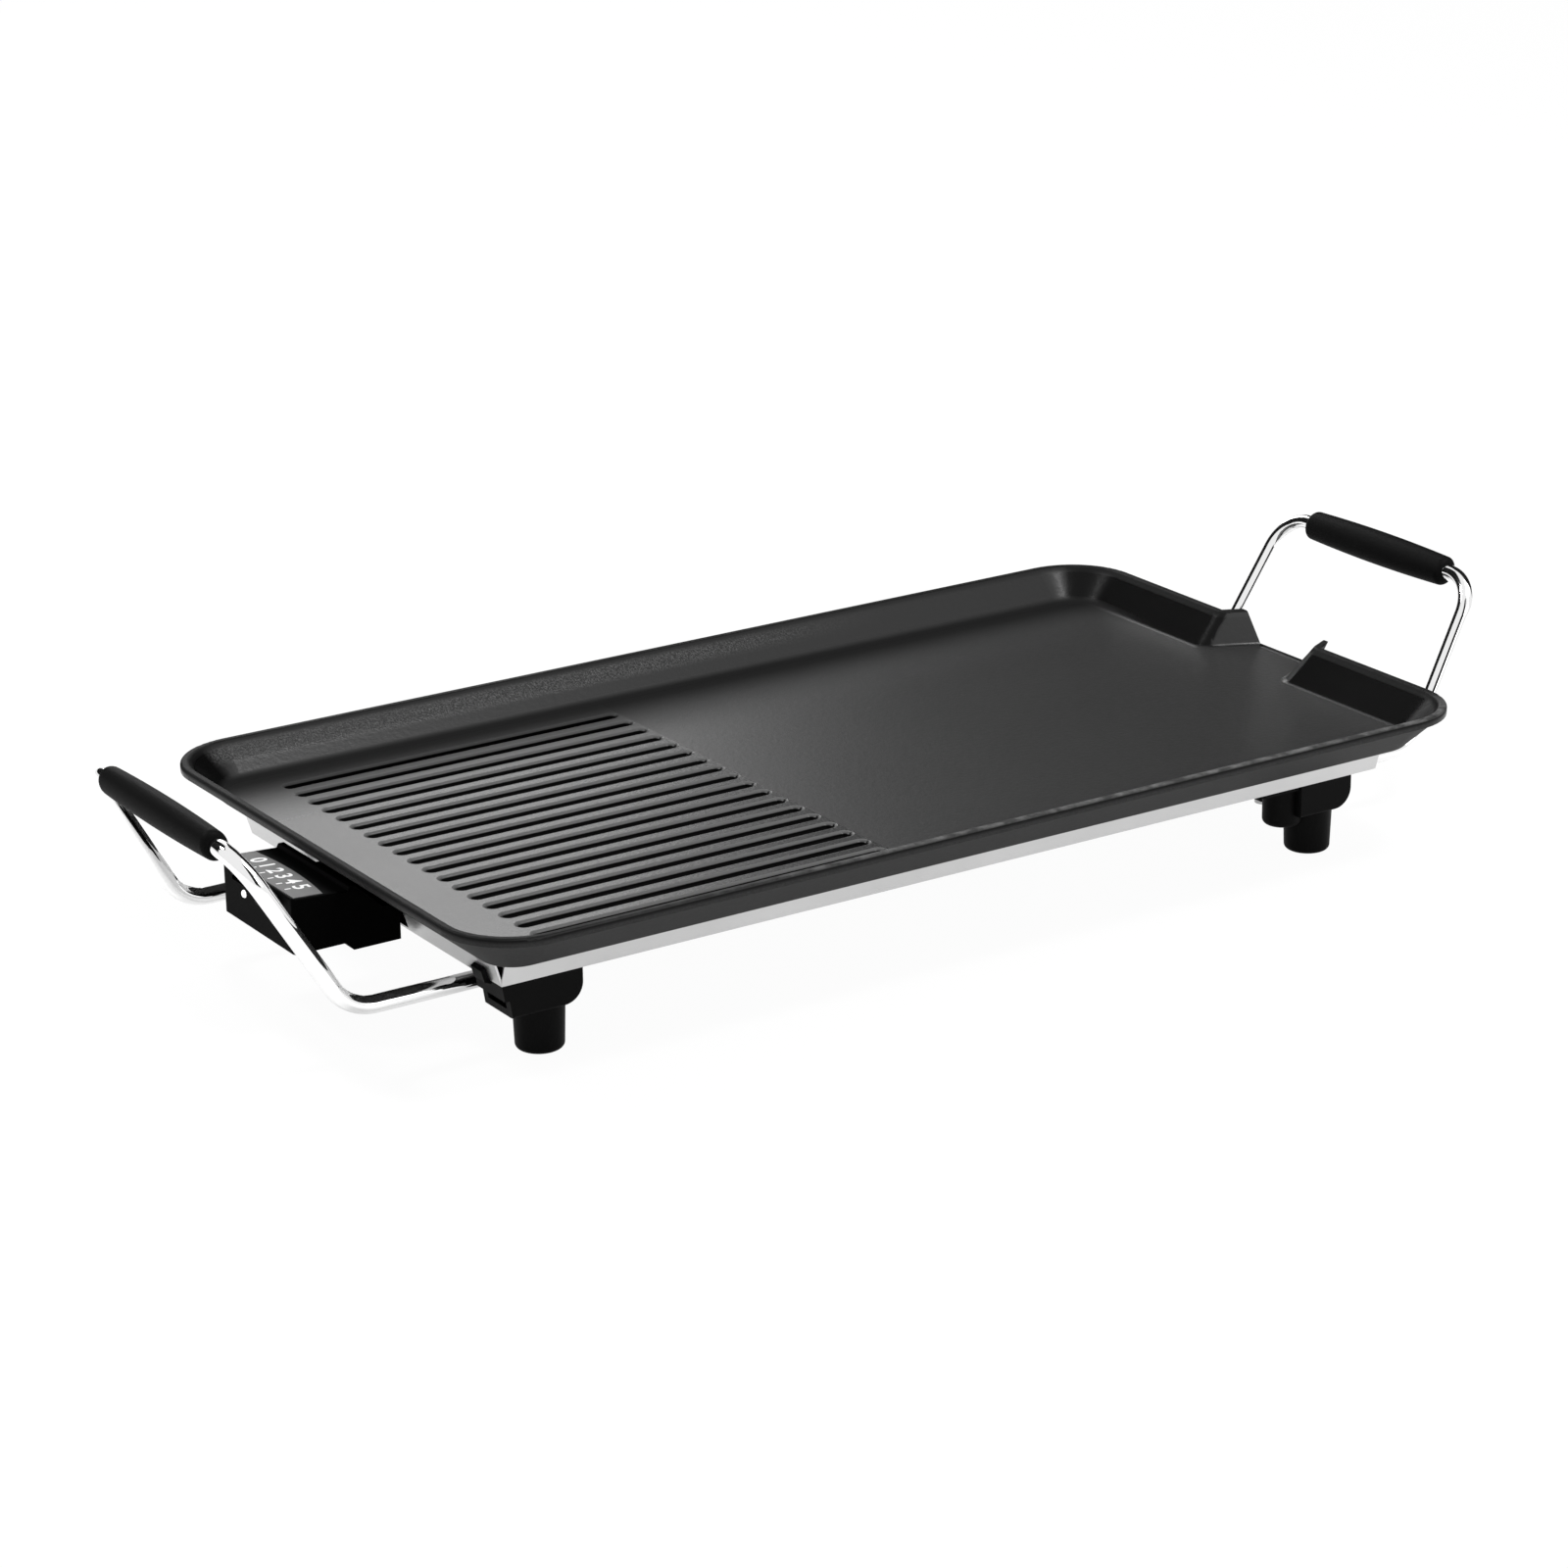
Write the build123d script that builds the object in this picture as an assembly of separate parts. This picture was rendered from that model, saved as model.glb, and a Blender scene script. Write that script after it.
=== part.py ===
from build123d import *
from math import atan2, cos, radians, sin, tan
import os

# Electric griddle: cast plate on a sheet tray, wire handles and a plug-in thermostat control.
# Millimetres, +Z up. The origin is on the table under the middle of the plate.
# +X is the spout end, -X the control end, -Y the near long side.

# Heights, from the table up
foot_height = 35.1
tray_depth = 12.7
floor_thickness = 4.7
pan_depth = 14.0

# Cooking plate, sizes measured in from the rim's outer edge
plate_length = 482.0
plate_width = 273.0
plate_corner = 31.0
rim_width = 3.2
inner_run = 17.5
lip_height = 3.5
lip_overhang = 2.0
outer_run = 18.0
rim_outer_round = 1.2
rim_inner_round = 1.8
floor_round = 3.5
base_round = 4.0

# Grooves between the ribs
groove_count = 18
groove_pitch = 12.0
groove_width = 5.2
groove_length = 160.0
groove_margin = 42.0
groove_round = 2.0

# Pour spout
spout_reach = 7.5
spout_root_half = 28.5
spout_mouth_half = 16.0
spout_flare = 10.5
spout_wall = 3.4
spout_floor = 4.2
spout_corner_round = 9.0

# Reflector tray, set in under the plate
tray_inset_x = 26.4
tray_inset_y = 33.5
tray_sheet = 0.8
tray_flare = 17.0
tray_top_gap = 0.3

# Feet: the leg's axis from the tray's edges, then the block's sides from that axis
foot_inset_x = 24.3
foot_inset_y = 15.0
foot_long_side = 23.8
foot_short_side = 12.3
foot_outer_side = 14.2
foot_inner_side = 7.0
foot_block_height = 14.6
foot_block_round = 8.6
foot_edge_round = 1.2
foot_end_slope = 1.2
foot_lobe_radius = 8.4
foot_lobe_offset = 1.5
foot_lobe_height = 20.2
foot_lobe_round = 2.5
foot_ledge_drop = 7.0
foot_ledge_step = 2.0
foot_slot_height = 3.4
foot_slot_length = 14.0
foot_slot_depth = 3.0
foot_slot_drop = 1.0
leg_top_radius = 10.7
leg_bottom_radius = 9.7
leg_bottom_round = 2.2
leg_bore_radius = 5.6
leg_web = 10.0
hook_width = 8.0
hook_offset = 1.5
hook_rise = 5.0
hook_thickness = 1.8
hook_drop = 2.6
foot_flange_reach = 13.0
foot_flange = 2.2
foot_flange_round = 3.0

# Handles, from the leg's axis, the tray's underside and the rim
wire_radius = 3.6
arm_inset = 17.7
arm_drop = 8.9
arm_reach = 22.0
top_reach = 39.0
top_rise = 26.5
arm_bend = 20.0
top_bend = 17.0
grip_length = 92.5
grip_end_gap = 17.9
grip_height = 15.0
grip_thickness = 12.6
grip_end_slim = 1.0
grip_end_round = 3.0

# Handle clamps beside the feet
clamp_reach = 9.7
clamp_length = 26.0
clamp_grip = 12.0
clamp_screw_inset = 6.5
clamp_width = 13.0
clamp_wall = 2.6
clamp_edge_round = 1.5

# Heating element
element_radius = 3.3
element_inset = 19.0
element_inner_y = 30.0
element_front_inset = 40.3
element_turn_run = 35.0
element_boss_gap = 6.5
element_bend = 18.0
element_seat_gap = 0.2
terminal_inset = 26.6
terminal_y = 14.0
terminal_rise = 4.6
terminal_straight = 8.0
pin_radius = 2.0
pin_length = 24.0
seal_radius = 3.0
seal_length = 3.0

# Element clamp bars
bar_count = 3
bar_end_gap = 45.0
bar_overhang = 6.0
bar_width = 14.0
bar_thickness = 1.5
bar_boss_radius = 4.5
bar_screw_bite = 5.0

# Terminal bracket
bracket_edge = 4.5
bracket_setback = 2.0
bracket_sheet = 1.5
bracket_flange = 11.0
bracket_screw_ribs = 2

# Probe well cast under the plate
well_wall = 1.2
well_end_gap = 2.0

# Control
control_reach = 23.0
control_tray_gap = 3.0
control_half_width = 29.6
control_top_drop = 8.3
control_top_fall = 1.4
control_shelf = 24.0
control_step_rise = 1.4
control_bottom_rise = 0.2
control_belly_drop = 3.5
control_gap = 2.0
control_wall = 2.0
control_cover_height = 13.2
control_back = 7.9
control_ledge_gap = 1.0
control_edge_round = 1.6
control_top_round = 0.7
control_boss_radius = 3.2
control_screw_y = 24.0
control_screw_bite = 5.0
control_screw_insets = (15.0, 30.5)

# Label panel on the cover
label_length = 15.0
label_side_margin = 1.2
label_bow = 2.4
label_thickness = 0.9
label_sink = 0.7

# Indicator
lens_radius = 1.6
lens_y = 11.4
lens_drop = 10.3
lens_length = 3.0
lamp_radius = 2.0
lamp_length = 8.0

# Temperature slider
slot_height = 3.8
slot_drop = 5.2
slider_travel = 18.0
slider_rest = 10.8
slot_end_gap = 1.0
knob_width = 8.0
knob_height = 5.6
knob_depth = 4.6
knob_round = 1.2
stem_width = 5.0
carriage_width = 9.0
carriage_depth = 6.0
carriage_height = 4.0
rail_radius = 1.2
rail_socket = 1.0

# Contact block, sleeves, thermostat and probe
nose_half_width = 22.0
nose_height = 8.0
nose_gap = 6.0
nose_flange = 3.0
nose_flange_step = 2.5
sleeve_radius = 2.9
sleeve_length = 20.0
probe_radius = 2.5
probe_reach = 30.0
thermostat_length = 12.5
thermostat_height = 9.9
strip_thickness = 0.6
strip_width = 7.0
strip_reach = 14.0
blade_thickness = 0.6

# Cord gland in the far side of the control
gland_inset = 7.0
gland_radius = 4.0
gland_flange_radius = 4.8
gland_flange = 2.0
gland_inside = 3.0
gland_bore = 2.6

# Fasteners
foot_screw_radius = 2.0
foot_screw_head_radius = 4.0
foot_screw_head = 2.6
foot_screw_bite = 8.0
boss_radius = 5.5
small_screw_radius = 1.5
small_screw_head_radius = 2.8
small_screw_head = 1.8
bracket_screw_bite = 3.0
clamp_screw_radius = 2.0
clamp_screw_head_radius = 3.8
clamp_screw_head = 2.4
nut_flat = 7.0
nut_height = 3.0
recess_width = 0.9
recess_depth = 1.0
recess_margin = 1.1

# Clearances
fit = 0.05
slip = 0.3
running = 0.06
seat = 0.15
notch_gap = 1.5
screw_play = 0.25
through = 1.0

# Places that follow from the sizes
half_length = plate_length / 2
tray_length = plate_length - 2 * tray_inset_x
tray_width = plate_width - 2 * tray_inset_y
tray_end = tray_length / 2
z_tray = foot_height
z_tray_top = z_tray + tray_sheet
z_plate = z_tray + tray_depth
z_floor = z_plate + floor_thickness
z_rim = z_floor + pan_depth
flange_slope = tan(radians(tray_flare))
corners = [(sx, sy) for sx in (-1, 1) for sy in (-1, 1)]

foot_x = tray_end - foot_inset_x
foot_y = tray_width / 2 - foot_inset_y
foot_places = [(sx * foot_x, sy * foot_y) for sx, sy in corners]
z_block = z_tray - foot_block_height

arm_y = foot_y - arm_inset
arm_z = z_tray - arm_drop
arm_corner_x = half_length + arm_reach
top_x = arm_corner_x + top_reach
top_y = grip_length / 2 + grip_end_gap
top_z = z_rim + top_rise
clamp_outer_x = foot_x + clamp_reach
arm_inner_x = clamp_outer_x - clamp_grip
clamp_screw_x = clamp_outer_x - clamp_length + clamp_screw_inset
clamp_screw_places = [(sx * clamp_screw_x, sy * arm_y) for sx, sy in corners]

element_outer_y = tray_width / 2 - element_inset
element_front_x = element_front_inset - foot_x
element_turn_x = element_front_x + element_turn_run
element_end_x = foot_x - boss_radius - element_boss_gap - element_radius
element_z = z_plate - element_seat_gap - element_radius
terminal_x = terminal_inset - tray_end
terminal_z = z_tray_top + terminal_rise
z_bar_top = element_z - element_radius - seat
first_bar_x = element_turn_x + bar_end_gap
bar_pitch = (element_end_x - bar_end_gap - first_bar_x) / (bar_count - 1)
bar_places = [first_bar_x + number * bar_pitch for number in range(bar_count)]
bar_screw_y = (element_inner_y + element_outer_y) / 2
bar_screw_places = [(x, sy * bar_screw_y) for x in bar_places for sy in (-1, 1)]
bracket_x = terminal_x + bracket_setback
bracket_screw_y = bracket_screw_ribs * groove_pitch
bracket_half_width = bracket_screw_y + bracket_edge
bracket_screw_places = [(bracket_x + bracket_flange / 2, sy * bracket_screw_y) for sy in (-1, 1)]
probe_z = terminal_z
probe_tip_x = terminal_x + probe_reach
well_half = probe_radius + slip + well_wall
well_start_x = bracket_x + bracket_flange + through
well_end_x = probe_tip_x + well_end_gap + well_wall

control_outer_x = -half_length - control_reach
control_inner_x = -tray_end - control_tray_gap
control_step_x = control_outer_x + control_shelf
control_split_x = control_inner_x - control_back
control_top_z = z_rim - control_top_drop
control_bottom_z = z_tray + control_bottom_rise
control_split_z = control_top_z - control_cover_height
control_ledge_z = z_plate - control_ledge_gap
belly_floor_z = control_bottom_z - control_belly_drop + control_wall
control_screw_spots = [
    (control_outer_x + inset, sy * control_screw_y) for inset in control_screw_insets for sy in (-1, 1)]
nose_inner_x = terminal_x - nose_gap
nose_bottom_z = terminal_z - nose_height / 2
nose_top_z = terminal_z + nose_height / 2
nose_back_x = control_inner_x - control_wall - seat - nose_flange
thermostat_x = nose_back_x - seat - thermostat_length
lens_z = control_top_z - lens_drop
slot_z = control_top_z - slot_drop
slot_half_length = slider_travel + stem_width / 2 + slot_end_gap
rail_x = control_outer_x + control_wall + slip + carriage_depth / 2
gland_x = control_outer_x + gland_inset
gland_z = (control_bottom_z + control_split_z) / 2


def plate_outline(inset, z):
    """The plate's rounded rectangle, drawn in from the rim's edge, at one height."""
    outline = RectangleRounded(plate_length - 2 * inset, plate_width - 2 * inset, plate_corner - inset)
    return Plane.XY.offset(z) * outline


def between(low, high):
    """A straight-walled solid between two outlines."""
    return loft([low, high], ruled=True)


def rod(start, end, radius):
    """A round bar between two points."""
    start = Vector(*start)
    end = Vector(*end)
    run = end - start
    return extrude(Plane(origin=start, z_dir=run) * Circle(radius), amount=run.length)


def block(x0, x1, y0, y1, z0, z1):
    """A box between two corners."""
    middle = Pos((x0 + x1) / 2, (y0 + y1) / 2, (z0 + z1) / 2)
    return middle * Box(x1 - x0, y1 - y0, z1 - z0)


def profile_prism(points, half):
    """An X-Z outline, drawn out to both sides along Y."""
    face = make_face(Polyline(*[(x, 0, z) for x, z in points], close=True))
    return extrude(face, amount=half, dir=(0, 1, 0), both=True)


def upward_screw(x, y, z, radius, head_radius, head, length):
    """A pan-head screw with its head's seat at z, its shank pointing up and a cross recess below."""
    screw = rod((x, y, z - head), (x, y, z), head_radius) + rod((x, y, z), (x, y, z + length), radius)
    long = head_radius - recess_margin
    short = recess_width / 2
    depth = z - head + recess_depth
    across = block(x - long, x + long, y - short, y + short, z - head - through, depth)
    along = block(x - short, x + short, y - long, y + long, z - head - through, depth)
    return screw - across - along


def control_screw_seat(x):
    """Height where a closing screw's head sits, in a recess of the control's underside."""
    bottom = control_bottom_z if x < control_step_x else control_bottom_z - control_belly_drop
    return bottom + small_screw_head + slip


def group(solids):
    """Separate solids that share one node."""
    return Compound(children=list(solids))


def spout_outline(extra, reach, z, overlap=0.0):
    """The spout in plan at one height: wide at the wall's foot, narrow at the mouth."""
    root_x = half_length - inner_run - overlap
    narrowing = (spout_root_half - spout_mouth_half) / (inner_run + spout_reach)
    root = spout_root_half + narrowing * overlap + extra
    tip_x = half_length + reach
    tip = spout_mouth_half - narrowing * (reach - spout_reach) + extra
    outline = Polyline((root_x, -root), (tip_x, -tip), (tip_x, tip), (root_x, root), close=True)
    return Plane.XY.offset(z) * make_face(outline)


def plate_shell():
    """The casting's outside: lip, sloped wall and flat underside, with the spout's outside."""
    lip = extrude(plate_outline(0, z_rim - lip_height), amount=lip_height)
    lip = fillet(lip.faces().sort_by(Axis.Z)[-1].edges(), rim_outer_round)
    bowl = between(plate_outline(outer_run, z_plate), plate_outline(lip_overhang, z_rim - lip_height))
    bowl = fillet(bowl.faces().sort_by(Axis.Z)[0].edges(), base_round)
    low = spout_outline(spout_wall, spout_reach, z_floor - spout_floor)
    high = spout_outline(spout_wall + spout_flare, spout_reach, z_rim)
    return bowl + lip + between(low, high)


def plate_cavity():
    """The hollow of the pan, with the spout's channel running out through the end wall."""
    pan = between(plate_outline(inner_run, z_floor), plate_outline(rim_width, z_rim))
    low = spout_outline(0, spout_reach + through, z_floor, overlap=inner_run)
    high = spout_outline(spout_flare, spout_reach + through, z_rim, overlap=inner_run)
    cavity = pan + between(low, high)
    upright = cavity.edges().filter_by(lambda edge: edge.bounding_box().size.Z > pan_depth / 2)
    widest = spout_root_half + spout_flare
    spout_roots = upright.filter_by(
        lambda edge: 0 < edge.center().X < half_length and abs(edge.center().Y) < widest)
    cavity = fillet(spout_roots, spout_corner_round)
    return fillet(cavity.edges().group_by(Axis.Z)[0], floor_round)


def groove_tools():
    """Round-bottomed grooves with round ends, cut into the floor between the ribs."""
    radius = groove_width / 2
    first_x = groove_margin - half_length + radius
    last_x = first_x + groove_length - groove_width
    tools = []
    for number in range(groove_count):
        y = (number - (groove_count - 1) / 2) * groove_pitch
        tools.append(rod((first_x, y, z_floor), (last_x, y, z_floor), radius))
        tools += [Pos(x, y, z_floor) * Sphere(radius) for x in (first_x, last_x)]
    return tools


def make_plate():
    """The casting: pan, spout and grooves on top; bosses and the probe well underneath."""
    cavity = plate_cavity()
    plate = plate_shell() - cavity
    hollow_rim = cavity.edges().group_by(Axis.Z)[-1]
    rim = plate.edges().group_by(Axis.Z)[-1]
    inner_rim = [edge for edge in rim if min(other.distance_to(edge @ 0.5) for other in hollow_rim) < fit]
    plate = fillet(inner_rim, rim_inner_round)
    ungrooved_floor = {tuple(edge.center()) for edge in plate.edges()}
    plate = plate - groove_tools()
    groove_edges = [
        edge for edge in plate.edges()
        if abs(edge.center().Z - z_floor) < fit and tuple(edge.center()) not in ungrooved_floor
        and edge.bounding_box().size.Z < fit]
    plate = fillet(groove_edges, groove_round)
    foot_bosses = [rod((x, y, z_tray_top), (x, y, z_plate), boss_radius) for x, y in foot_places]
    bar_bosses = [rod((x, y, z_bar_top), (x, y, z_plate), bar_boss_radius) for x, y in bar_screw_places]
    well = block(well_start_x, well_end_x, -well_half, well_half, probe_z - well_half, z_plate)
    plate = plate + foot_bosses + bar_bosses + well
    foot_threads = [
        rod((x, y, z_tray_top), (x, y, z_tray_top + foot_screw_bite + slip), foot_screw_radius + fit)
        for x, y in foot_places]
    bar_threads = [
        rod((x, y, z_bar_top), (x, y, z_bar_top + bar_screw_bite + slip), small_screw_radius + fit)
        for x, y in bar_screw_places]
    bracket_threads = [
        rod((x, y, z_plate), (x, y, z_plate + bracket_screw_bite + slip), small_screw_radius + fit)
        for x, y in bracket_screw_places]
    well_bore = rod((well_start_x, 0, probe_z), (well_end_x - well_wall, 0, probe_z), probe_radius + slip)
    return plate - foot_threads - bar_threads - bracket_threads - well_bore


def make_element():
    """One tube: in from a terminal, along the outer run, back along the inner run, and mirrored."""
    side = [
        (terminal_x, terminal_y, terminal_z),
        (terminal_x + terminal_straight, terminal_y, terminal_z),
        (element_front_x, terminal_y, element_z),
        (element_front_x, element_outer_y, element_z),
        (element_end_x, element_outer_y, element_z),
        (element_end_x, element_inner_y, element_z),
        (element_turn_x, element_inner_y, element_z),
    ]
    other_side = [(x, -y, z) for x, y, z in reversed(side)]
    path = FilletPolyline(*side, *other_side, radius=element_bend)
    return sweep(Plane(origin=path @ 0, z_dir=path % 0) * Circle(element_radius), path)


def make_terminal_pins():
    return group(
        rod((terminal_x, y, terminal_z), (terminal_x - pin_length, y, terminal_z), pin_radius)
        for y in (-terminal_y, terminal_y))


def make_terminal_seals():
    """Ceramic rings where the pins leave the tube."""
    seals = []
    for y in (-terminal_y, terminal_y):
        ring = rod((terminal_x, y, terminal_z), (terminal_x - seal_length, y, terminal_z), seal_radius)
        bore = rod((terminal_x, y, terminal_z), (terminal_x - seal_length, y, terminal_z), pin_radius + fit)
        seals.append(ring - bore)
    return group(seals)


def make_clamp_bars():
    """Flat bars that press all four runs of the tube against the plate."""
    half = element_outer_y + element_radius + bar_overhang
    bars = []
    for x in bar_places:
        bar = block(x - bar_width / 2, x + bar_width / 2, -half, half, z_bar_top - bar_thickness, z_bar_top)
        holes = [
            rod((x, y, z_bar_top - bar_thickness), (x, y, z_bar_top), small_screw_radius + screw_play)
            for y in (-bar_screw_y, bar_screw_y)]
        bars.append(bar - holes)
    return group(bars)


def make_clamp_bar_screws():
    return group(
        upward_screw(x, y, z_bar_top - bar_thickness, small_screw_radius, small_screw_head_radius,
                     small_screw_head, bar_thickness + bar_screw_bite)
        for x, y in bar_screw_places)


def make_bracket():
    """Bent sheet behind the terminals: holes for the tube's ends and the probe, flange on the plate."""
    back = bracket_x + bracket_sheet
    upright = block(bracket_x, back, -bracket_half_width, bracket_half_width, z_tray_top + through, z_plate)
    flange = block(bracket_x, bracket_x + bracket_flange, -bracket_half_width, bracket_half_width,
                   z_plate - bracket_sheet, z_plate)
    holes = [
        rod((bracket_x, y, terminal_z), (back, y, terminal_z), element_radius + slip + fit)
        for y in (-terminal_y, terminal_y)]
    probe_hole = rod((bracket_x, 0, probe_z), (back, 0, probe_z), probe_radius + 2 * slip)
    screw_holes = [
        rod((x, y, z_plate - bracket_sheet), (x, y, z_plate), small_screw_radius + screw_play)
        for x, y in bracket_screw_places]
    return upright + flange - holes - probe_hole - screw_holes


def make_bracket_screws():
    return group(
        upward_screw(x, y, z_plate - bracket_sheet, small_screw_radius, small_screw_head_radius,
                     small_screw_head, bracket_sheet + bracket_screw_bite)
        for x, y in bracket_screw_places)


def tray_section(half):
    """Points of the bent sheet across the tray: floor and the two flared flanges."""
    rise = tray_depth - tray_top_gap
    across = tray_sheet / cos(radians(tray_flare))
    right = [
        (half, z_tray),
        (half + rise * flange_slope, z_tray + rise),
        (half - across + rise * flange_slope, z_tray + rise),
        (half - across + tray_sheet * flange_slope, z_tray_top),
    ]
    left = [(-x, z) for x, z in reversed(right)]
    return right + left


def make_tray():
    """Sheet tray: the end section drawn across, the side section drawn along, corners left open."""
    ends = profile_prism(tray_section(tray_end), tray_width / 2)
    sides = Rot(0, 0, 90) * profile_prism(tray_section(tray_width / 2), tray_length / 2)
    holes = [
        rod((x, y, z_tray - through), (x, y, z_tray_top + through), foot_screw_radius + screw_play)
        for x, y in foot_places]
    holes += [
        rod((x, y, z_tray - through), (x, y, z_tray_top + through), clamp_screw_radius + screw_play)
        for x, y in clamp_screw_places]
    notch_half = control_half_width + notch_gap
    notch = block(-tray_end - tray_depth, 2 * tray_sheet - tray_end, -notch_half, notch_half,
                  nose_bottom_z - slip, z_plate)
    return ends + sides - holes - notch


def foot_hook():
    """Lug that grips the outside of the tray's end flange, seen from the leg's axis."""
    flange_x = -foot_inset_x - seat
    top_x = flange_x - hook_rise * flange_slope
    root_x = -foot_long_side + foot_ledge_step
    points = [
        (root_x, z_tray),
        (flange_x, z_tray),
        (top_x, z_tray + hook_rise),
        (top_x - hook_thickness, z_tray + hook_rise - hook_thickness / 2),
        (flange_x - hook_thickness, z_tray - hook_thickness / 2),
        (root_x, z_tray - hook_drop),
    ]
    return Pos(0, -hook_offset, 0) * profile_prism(points, hook_width / 2)


def foot_flange_plate():
    """Thin plate that carries the foot's long side on under the tray."""
    outer_x = -foot_long_side - foot_flange_reach
    outer_y = foot_edge_round - foot_outer_side
    plate = block(outer_x, 0, outer_y, foot_inner_side, z_tray - foot_flange, z_tray)
    return fillet(plate.edges().filter_by(Axis.Z).group_by(Axis.X)[0], foot_flange_round)


def foot_block(long_end):
    """The foot's block, its profile closed by the points of its long end."""
    outline = [(foot_short_side, z_tray), (foot_short_side, z_block), *long_end]
    middle_y = (foot_inner_side - foot_outer_side) / 2
    body = Pos(0, middle_y, 0) * profile_prism(outline, (foot_inner_side + foot_outer_side) / 2)
    body = fillet(body.edges().filter_by(Axis.Y).group_by(Axis.Z)[0].sort_by(Axis.X)[-1], foot_block_round)
    outer_face = body.faces().filter_by(Axis.Y).sort_by(Axis.Y)[0]
    outer_edges = outer_face.edges().filter_by(
        lambda edge: edge.center().X > 0 and edge.center().Z < z_tray - fit)
    return fillet(outer_edges, foot_edge_round)


def hooked_block():
    """Block with a ledge and a slot in its long end, and a lug that grips the tray's flange."""
    ledge_z = z_tray - foot_ledge_drop
    ledge_x = foot_end_slope - foot_long_side
    low_x = ledge_x + foot_ledge_step
    ledge = [(low_x, ledge_z), (ledge_x, ledge_z)]
    long_end = [(low_x + foot_end_slope, z_block), *ledge, (-foot_long_side, z_tray)]
    middle_y = (foot_inner_side - foot_outer_side) / 2
    slot_top = ledge_z - foot_slot_drop
    slot = block(-2 * foot_long_side, low_x + foot_slot_depth, middle_y - foot_slot_length / 2,
                 middle_y + foot_slot_length / 2, slot_top - foot_slot_height, slot_top)
    return foot_block(long_end) - slot + foot_hook()


def plain_block():
    """Block with a round lobe at its long end, carried on by the flange plate."""
    lobe_x = foot_lobe_radius - foot_long_side
    low = (lobe_x, -foot_lobe_offset, z_tray - foot_lobe_height)
    lobe = rod(low, (lobe_x, -foot_lobe_offset, z_tray), foot_lobe_radius)
    lobe = fillet(lobe.edges().group_by(Axis.Z)[0], foot_lobe_round)
    return foot_block([(lobe_x, z_block), (lobe_x, z_tray)]) + lobe + foot_flange_plate()


def make_foot(body):
    """One foot round its leg's axis, long side to -X: a block on a tapered leg, bored for its screw."""
    leg_height = z_block + foot_block_round
    leg = Pos(0, 0, leg_height / 2) * Cone(leg_bottom_radius, leg_top_radius, leg_height)
    leg = fillet(leg.edges().group_by(Axis.Z)[0], leg_bottom_round)
    seat_z = z_tray - leg_web
    bore = rod((0, 0, -through), (0, 0, seat_z), leg_bore_radius)
    hole = rod((0, 0, seat_z), (0, 0, z_tray + through), foot_screw_radius + screw_play)
    return body + leg - bore - hole


def make_foot_screws():
    return group(
        upward_screw(x, y, z_tray - leg_web, foot_screw_radius, foot_screw_head_radius, foot_screw_head,
                     leg_web + tray_sheet + foot_screw_bite)
        for x, y in foot_places)


def handle_path():
    """The wire's centre line at the +X end: in under the tray, out, up, across and back."""
    side = [(arm_inner_x, arm_y, arm_z), (arm_corner_x, arm_y, arm_z), (top_x, top_y, top_z)]
    other_side = [(x, -y, z) for x, y, z in reversed(side)]
    return FilletPolyline(*side, *other_side, radius=(arm_bend, top_bend, top_bend, arm_bend))


def make_handle():
    path = handle_path()
    return sweep(Plane(origin=path @ 0, z_dir=path % 0) * Circle(wire_radius), path)


def make_grip():
    """Barrel-shaped sleeve on the wire's top run, flattened across the handle's plane."""
    middle = grip_height / 2
    end = middle - grip_end_slim
    half = grip_length / 2
    bulge = ThreePointArc((end, -half), (middle, 0), (end, half))
    outline = bulge + Polyline((end, half), (0, half), (0, -half), (end, -half))
    barrel = revolve(Plane.XZ * make_face(outline), Axis.Z)
    barrel = fillet(barrel.edges().filter_by(GeomType.CIRCLE), grip_end_round)
    barrel = scale(barrel, by=(1, grip_thickness / grip_height, 1))
    lean = atan2(top_x - arm_corner_x, top_z - arm_z)
    place = Plane(origin=(top_x, 0, top_z), x_dir=(sin(lean), 0, cos(lean)), z_dir=(0, 1, 0))
    bore = rod((top_x, -grip_length, top_z), (top_x, grip_length, top_z), wire_radius + fit)
    return place * barrel - bore


def make_handle_clamp():
    """Moulded block under the tray that holds the end of one wire arm, at the +X +Y corner."""
    low = arm_z - wire_radius - clamp_wall
    body = block(clamp_outer_x - clamp_length, clamp_outer_x, arm_y - clamp_width / 2,
                 arm_y + clamp_width / 2, low, z_tray)
    body = fillet(body.edges().filter_by(Axis.Z) + body.edges().group_by(Axis.Z)[0], clamp_edge_round)
    bore = rod((arm_inner_x - slip, arm_y, arm_z), (clamp_outer_x + through, arm_y, arm_z),
               wire_radius + fit)
    hole = rod((clamp_screw_x, arm_y, low - through), (clamp_screw_x, arm_y, z_tray + through),
               clamp_screw_radius + screw_play)
    return body - bore - hole


def make_clamp_screws():
    low = arm_z - wire_radius - clamp_wall
    length = z_tray_top + nut_height + through - low
    return group(
        upward_screw(x, y, low, clamp_screw_radius, clamp_screw_head_radius, clamp_screw_head, length)
        for x, y in clamp_screw_places)


def make_clamp_nuts():
    nut = extrude(RegularPolygon(nut_flat / 2, 6, major_radius=False), amount=nut_height)
    nut = nut - extrude(Circle(clamp_screw_radius + fit), amount=nut_height)
    return group(Pos(x, y, z_tray_top) * nut for x, y in clamp_screw_places)


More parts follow.
